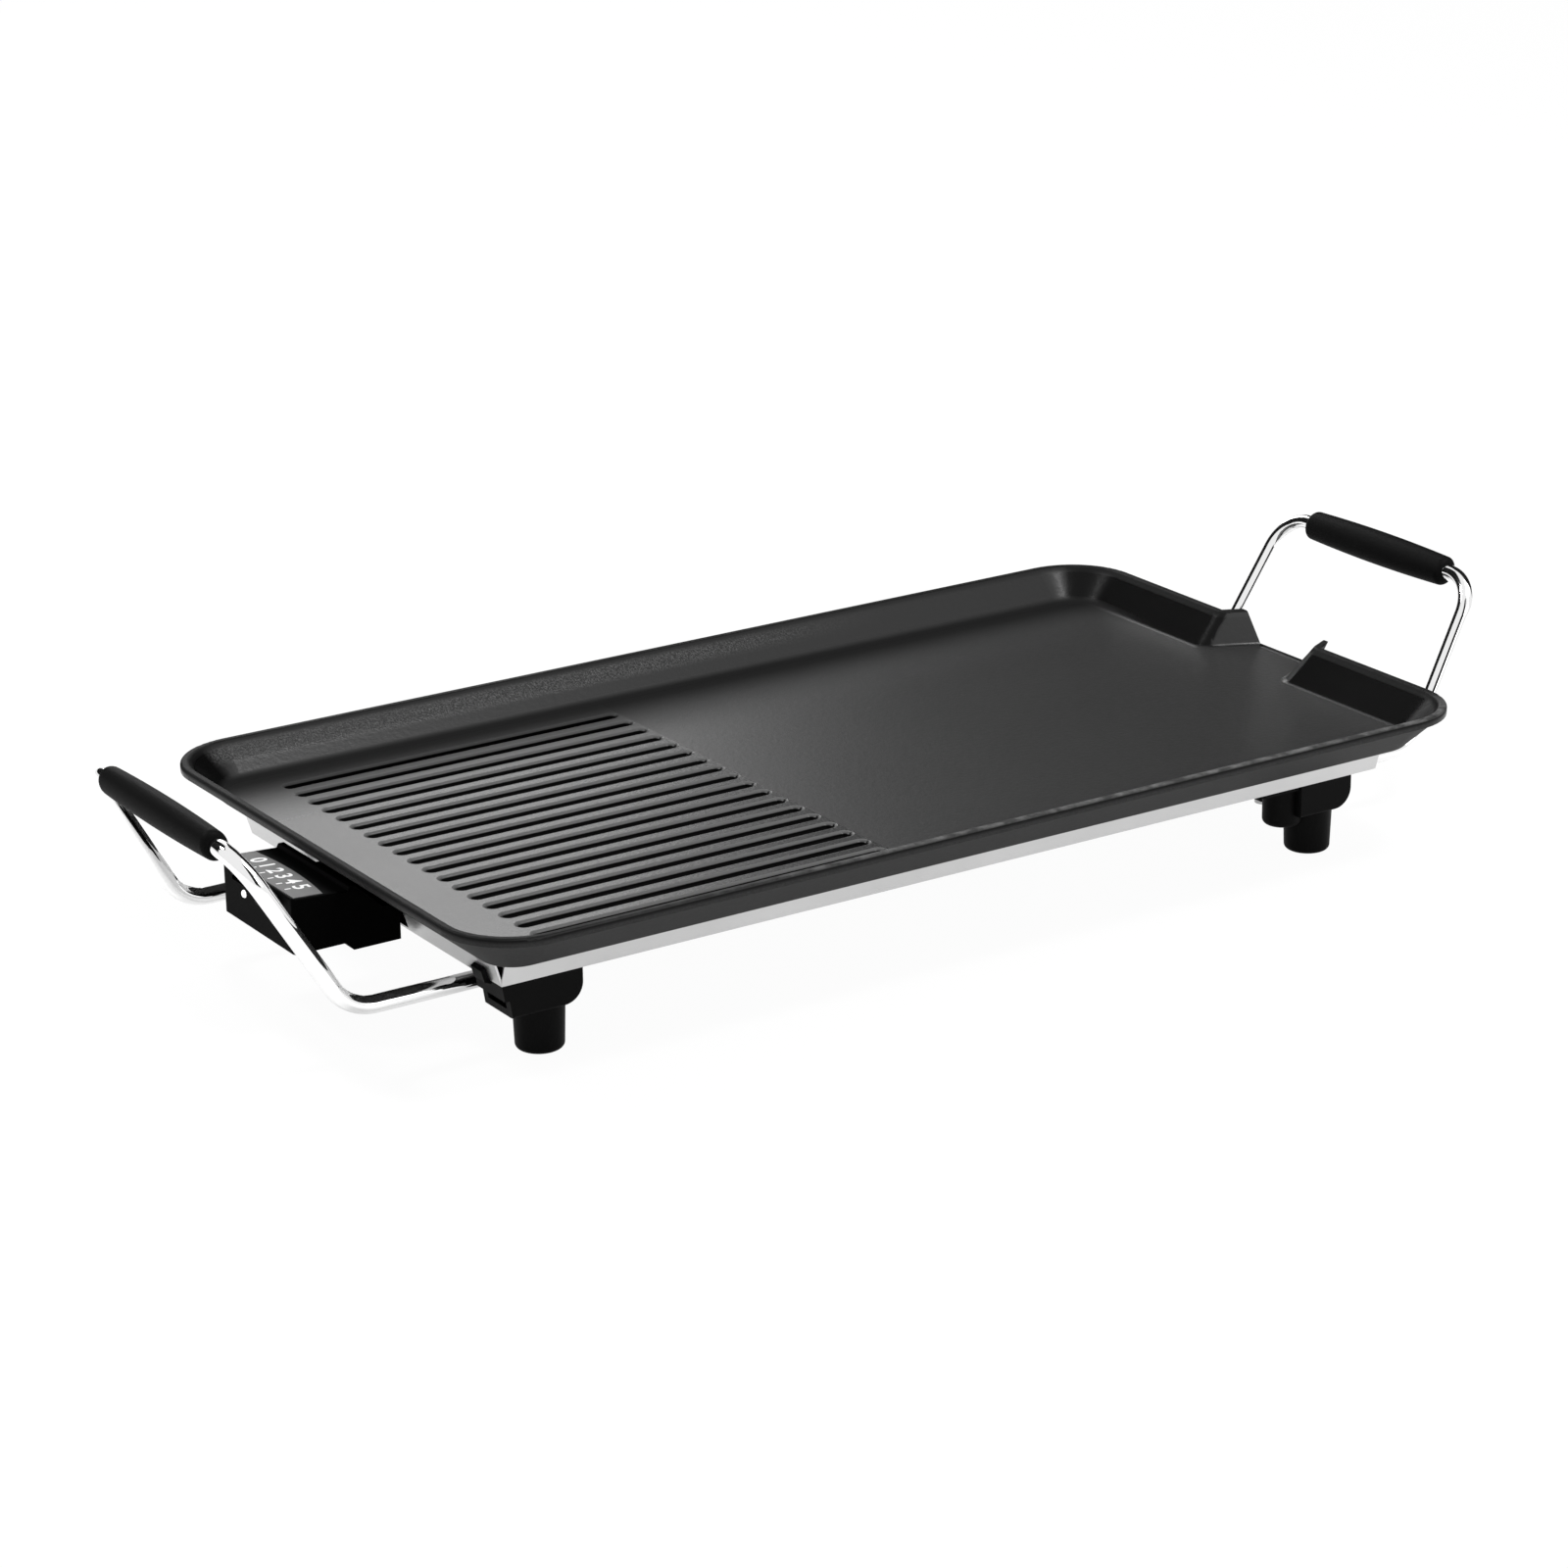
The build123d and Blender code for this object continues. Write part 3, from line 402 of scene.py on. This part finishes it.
grip_plastic = moulding(
    "grip_plastic", level=0.0028, roughness=0.5, shine=0.03, grain_size=0.0006, grain_depth=0.00004)
wear(grip_plastic, "grip_left", "grip_right", "temperature_slider")
foot_plastic = moulding(
    "foot_plastic", level=0.0026, roughness=0.4, shine=0.045, grain_size=0.0007, grain_depth=0.00005)
wear(
    foot_plastic,
    "foot_near_left", "foot_near_right", "foot_far_left", "foot_far_right", "handle_clamp_near_left",
    "handle_clamp_near_right", "handle_clamp_far_left", "handle_clamp_far_right",
)
control_plastic = moulding(
    "control_plastic", level=0.0008, roughness=0.36, shine=0.01, grain_size=0.0005, grain_depth=0.00003)
wear(control_plastic, "control_base", "control_cover", "contact_block")
gland_rubber = moulding(
    "gland_rubber", level=0.008, roughness=0.6, shine=0.1, grain_size=0.0004, grain_depth=0.00003)
wear(gland_rubber, "cord_gland")

# %% [markdown]
# ## The control's label and lens
# The label panel on the control is matte grey. The indicator lens in the control's outer face is
# pale plastic under a clear coat. It could be real glass over a lit lamp, which is slow to render
# for a piece so small; a glow of its own lifts it to the picture's white.

# %% Label panel and indicator lens
label_grey, shader, place = start_finish("label_grey")
mottle = noise(place, 0.0004)
feed(
    shader,
    Base_Color=mottle.mix(grey(0.05), grey(0.065)),
    Roughness=0.5 + 0.1 * mottle,
    Normal=bump(mottle, depth=0.00002, strength=0.4),
    Specular_IOR_Level=0.3,
)
wear(label_grey, "control_label")

lens_clear, shader, place = start_finish("lens_clear")
cloud = noise(place, 0.001)
feed(
    shader,
    Base_Color=cloud.mix(grey(0.78), grey(0.86)),
    Roughness=0.12 + 0.05 * cloud,
    Coat_Weight=0.5,
    Emission_Color=cloud.mix(grey(0.8), grey(1.0)),
    Emission_Strength=1.2,
)
wear(lens_clear, "indicator_lens")

# %% [markdown]
# ## Inside the control
# White ceramic, brass contacts and a small glass lamp show only when the control is taken apart.
# They could stay plain grey, but whoever opens the part should know each piece by its material.

# %% Ceramic, brass and glass
ceramic, shader, place = start_finish("ceramic")
pores = noise(place, 0.0005, detail=3.0)
feed(
    shader,
    Base_Color=pores.mix((0.66, 0.63, 0.58, 1), (0.78, 0.76, 0.72, 1)),
    Roughness=0.55 + 0.2 * pores,
    Normal=bump(pores, depth=0.00005, strength=0.4),
)
wear(ceramic, "terminal_seals", "thermostat_block")

brass, shader, place = start_finish("contact_brass")
tarnish = noise(place, 0.004, detail=3.0)
feed(
    shader,
    Base_Color=tarnish.mix((0.45, 0.31, 0.11, 1), (0.62, 0.45, 0.19, 1)),
    Metallic=1.0,
    Roughness=0.25 + 0.2 * tarnish,
)
wear(brass, "contact_sleeves", "contact_blades", "bimetal_strip")

lamp_glass, shader, place = start_finish("lamp_glass")
feed(shader, Base_Color=(0.9, 0.8, 0.7, 1), Roughness=0.05, Transmission_Weight=0.8)
wear(lamp_glass, "indicator_lamp")

# %% [markdown]
# ## A scale on the label
# The panel carries a white printed scale: plain numbers with ticks, six marks across the slider's
# own travel. Print could be painted into the panel's material, but small figures would blur. Print
# also has no thickness to speak of, so the figures are flat meshes laid a hair above the panel,
# turned to face someone who stands at the control's end.

# %% Print for the panel
panel_run, panel_drop = 24.0, 1.4
print_lift = 0.00003
figure_size, figure_weight = 0.0095, 0.0002
tick_half_width, tick_length = 0.0004, 0.0026

ink, shader, place = start_finish("label_ink")
worn = noise(place, 0.0008, detail=3.0)
feed(shader, Base_Color=worn.mix(grey(0.46), grey(0.6)), Roughness=0.5 + 0.1 * worn)
panel_low, panel_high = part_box("control_label")
reading = Vector((0, -1, 0))
fall = Vector((panel_run, 0, -panel_drop)).normalized()
panel_turn = Matrix((reading, fall, reading.cross(fall))).transposed().to_4x4()


def on_panel(name, mesh, x, y):
    """Puts flat print on the sloping panel."""
    z = panel_high[2] + (x - panel_low[0]) * fall.z / fall.x + print_lift
    piece = bpy.data.objects.new(name, mesh)
    piece.matrix_world = Matrix.Translation((x, y, z)) @ panel_turn
    scene.collection.objects.link(piece)
    mesh.materials.append(ink)
    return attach(piece, "control")


def figure(text):
    """A figure as a flat mesh, centred on its own middle."""
    curve = bpy.data.curves.new("figure", "FONT")
    curve.body = text
    curve.size = figure_size
    curve.offset = figure_weight
    curve.align_x = "CENTER"
    drawn = bpy.data.objects.new("figure", curve)
    scene.collection.objects.link(drawn)
    depsgraph = bpy.context.evaluated_depsgraph_get()
    mesh = bpy.data.meshes.new_from_object(drawn.evaluated_get(depsgraph))
    bpy.data.objects.remove(drawn)
    return mesh


def tick():
    """A short upright bar as a flat mesh."""
    w, top = tick_half_width, tick_length
    mesh = bpy.data.meshes.new("tick")
    mesh.from_pydata([(-w, 0, 0), (w, 0, 0), (w, top, 0), (-w, top, 0)], [], [(0, 1, 2, 3)])
    return mesh


# %% [markdown]
# ## Six marks
# The slider runs 36 mm across the control, and the scale runs with it, from 0 at one end of the
# travel to 5 at the other. Each mark could be placed by eye; a loop spaces them evenly over the
# travel, so a number always stands where the slider can stop.

# %% Numbers and ticks
marks = 6
half_travel = 0.018
number_inset, tick_inset = 0.0058, 0.0018

for mark in range(marks):
    y = half_travel * (1 - 2 * mark / (marks - 1))
    on_panel(f"scale_number_{mark}", figure(str(mark)), panel_low[0] + number_inset, y)
    on_panel(f"scale_tick_{mark}", tick(), panel_low[0] + tick_inset, y)
print("scale marks", marks)

# %% [markdown]
# ## White paper
# A product picture like this one is taken in a white tent: the object stands on white paper that
# runs up behind it. Enough lamps could burn the paper to white, but they would bleach the pan too.
# So the paper is white to the camera, and nearly so in the chrome, while as a light it is only grey
# paper and the lamps do the lighting. The shadow stays, faint, because a small part of the floor's
# white is really lit.

# %% Floor and world
tent_light = 0.45
floor_reach = 6.0
floor_glow, floor_mirrored = 0.96, 0.6


def seen_white(tree, mirrored=1.0):
    """1 where the camera looks, `mirrored` in a mirror or glass, 0 for light that is passed on."""
    path = tree.nodes.new("ShaderNodeLightPath")
    seen = Wire(tree, path.outputs["Is Camera Ray"])
    for name in ("Is Glossy Ray", "Is Transmission Ray"):
        seen = seen.math("MAXIMUM", seen, mirrored * Wire(tree, path.outputs[name]))
    return seen


def paper_world():
    world = bpy.data.worlds.new("white_tent")
    world.use_nodes = True
    tree = world.node_tree
    background = tree.nodes["Background"]
    background.inputs["Color"].default_value = grey(1.0)
    strength = tent_light + (1 - tent_light) * seen_white(tree)
    tree.links.new(strength.socket, background.inputs["Strength"])
    return world


def sheet(name, corners):
    """One flat piece of the studio, which is not part of the griddle."""
    mesh = bpy.data.meshes.new(name)
    mesh.from_pydata(corners, [], [(0, 1, 2, 3)])
    piece = bpy.data.objects.new(name, mesh)
    scene.collection.objects.link(piece)
    return piece


def paper():
    """White paper, part of it lit and the rest glowing where it is seen."""
    material, shader, place = start_finish("paper")
    tree = material.node_tree
    fibre = noise(place, 0.002)
    feed(shader, Base_Color=fibre.mix(grey(0.86), grey(0.9)), Roughness=0.9)
    glow = Wire(tree).node("Emission", None, {"Color": grey(1.0), "Strength": 1.0})
    share = floor_glow * seen_white(tree, floor_mirrored)
    lit = Wire(tree, shader.outputs[0])
    both = Wire(tree).node("MixShader", None, {0: share, 1: lit, 2: glow})
    tree.links.new(both.socket, tree.nodes["Material Output"].inputs["Surface"])
    return material


scene.world = paper_world()
r = floor_reach
floor = sheet("paper_floor", [(-r, -r, 0), (r, -r, 0), (r, r, 0), (-r, r, 0)])
floor.data.materials.append(paper())
print("floor", floor.name, "world", scene.world.name)

# %% [markdown]
# ## Lamps and cards
# Two large soft lamps above and in front light the whole. A third, behind the pan, lies in the
# mirror of its floor and gives the ribs their sheen. Two small ones leave the short streaks in the
# pan's corners. One could turn lamps down to darken a part of the pan; photographers hold up black
# cards instead, and so does this scene. Only reflections see the three cards: the first keeps the
# flat half dark, the second the end wall, and the third draws a dark line in the chrome.

# %% Lamps and black cards
pan_middle = Vector((0, 0, 0.06))
lamp_aim = Vector((0, 0, 0.05))


def toward(azimuth, elevation, distance):
    """A place seen from the pan, its azimuth turned from +Y towards +X, in degrees."""
    a, e = radians(azimuth), radians(elevation)
    return Vector((sin(a) * cos(e), cos(a) * cos(e), sin(e))) * distance + pan_middle


def softbox(name, place, size, watts):
    """A rectangular lamp that looks at the pan."""
    data = bpy.data.lights.new(name, "AREA")
    data.shape = "RECTANGLE"
    data.size, data.size_y = size
    data.energy = watts
    lamp = bpy.data.objects.new(name, data)
    lamp.location = place
    lamp.rotation_euler = (lamp_aim - Vector(place)).to_track_quat("-Z", "Y").to_euler()
    scene.collection.objects.link(lamp)


def black_card(name, azimuths, elevations, distance):
    """A card that only reflections see, between two azimuths and two elevations."""
    (a0, a1), (e0, e1) = azimuths, elevations
    corners = ((a0, e0), (a1, e0), (a1, e1), (a0, e1))
    card = sheet(name, [toward(a, e, distance) for a, e in corners])
    material, shader, place = start_finish(name)
    nap = noise(place, 0.05)
    feed(
        shader,
        Base_Color=nap.mix(grey(0.008), grey(0.012)),
        Roughness=0.9,
        Specular_IOR_Level=0.0,
    )
    card.data.materials.append(material)
    card.visible_camera = card.visible_diffuse = card.visible_shadow = False


softbox("top_softbox", (0.9, -0.7, 1.6), size=(1.3, 1.1), watts=14)
softbox("front_softbox", (0.6, -2.0, 0.9), size=(1.2, 0.9), watts=7)
softbox("sheen_softbox", toward(17, 28, 2.6), size=(1.1, 0.9), watts=16.5)
softbox("corner_softbox_near", toward(148, 62, 2.0), size=(0.33, 0.33), watts=27)
softbox("corner_softbox_far", toward(-51, 49, 2.0), size=(0.33, 0.33), watts=27)
black_card("flat_half_card", azimuths=(32, 100), elevations=(4, 54), distance=2.4)
black_card("end_wall_card", azimuths=(-60, 6), elevations=(6, 60), distance=2.4)
black_card("chrome_line_card", azimuths=(176, 202), elevations=(2, 60), distance=1.6)
